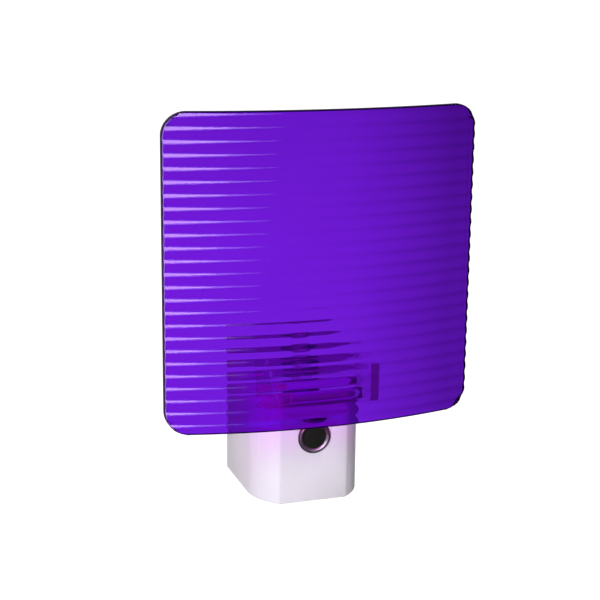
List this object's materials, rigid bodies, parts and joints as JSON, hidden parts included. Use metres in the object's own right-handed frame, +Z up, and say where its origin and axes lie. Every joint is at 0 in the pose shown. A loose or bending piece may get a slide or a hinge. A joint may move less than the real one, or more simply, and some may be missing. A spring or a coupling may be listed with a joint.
{
  "type": "plug-in night light",
  "caption": "Plug-in night light: a clear violet, ribbed, curved shade panel stands on a collar in front of a small white housing with a round light sensor and flat plug blades.",
  "frame": {"origin": "on the wall plane (the back face of the housing), midway between the two plug blades", "axes": "+Z up, +Y into the wall along the blades, +X to the right as seen from the room"},
  "size_m": [0.0808, 0.0568, 0.1035],
  "materials": {
    "violet_acrylic": "clear violet, glossy, ribbed",
    "white_housing": "satin white moulding",
    "white_cover": "fine matte white moulding",
    "bezel_chrome": "bright plated ring",
    "sensor_window": "smoked black, glossy",
    "led_epoxy": "water clear",
    "blade_plate": "nickel plated",
    "board_laminate": "tan phenolic laminate",
    "tinned_wire": "tinned copper",
    "black_epoxy": "moulded black epoxy",
    "zener_glass": "amber glass bead",
    "resistor_tan": "tan lacquer",
    "resistor_grey": "grey flameproof lacquer",
    "film_box": "dipped red-brown box",
    "can_sleeve": "dark blue shrink sleeve",
    "black_sleeve": "black tube",
    "photocell_face": "ceramic disc",
    "fibre_sleeve": "woven white sleeving"
  },
  "bodies": {
    "root": {"shade_panel": "violet_acrylic", "front_housing": "white_housing", "back_cover": "white_cover", "sensor_bezel": "bezel_chrome", "sensor_lens": "sensor_window", "sensor_sleeve": "black_sleeve", "photocell": "photocell_face", "photocell_leads": "tinned_wire", "led_bezel": "bezel_chrome", "led_body": "led_epoxy", "led_leads": "tinned_wire", "led_sleeves": "fibre_sleeve", "plug_blade_left": "blade_plate", "plug_blade_right": "blade_plate", "circuit_board": "board_laminate", "component_leads": "tinned_wire", "rectifier_diodes": "black_epoxy", "zener_diode": "zener_glass", "transistor": "black_epoxy", "fuse_resistor": "resistor_grey", "bleeder_resistor": "resistor_tan", "bias_resistors": "resistor_tan", "dropper_capacitor": "film_box", "smoothing_capacitor": "can_sleeve"}
  },
  "joints": []
}
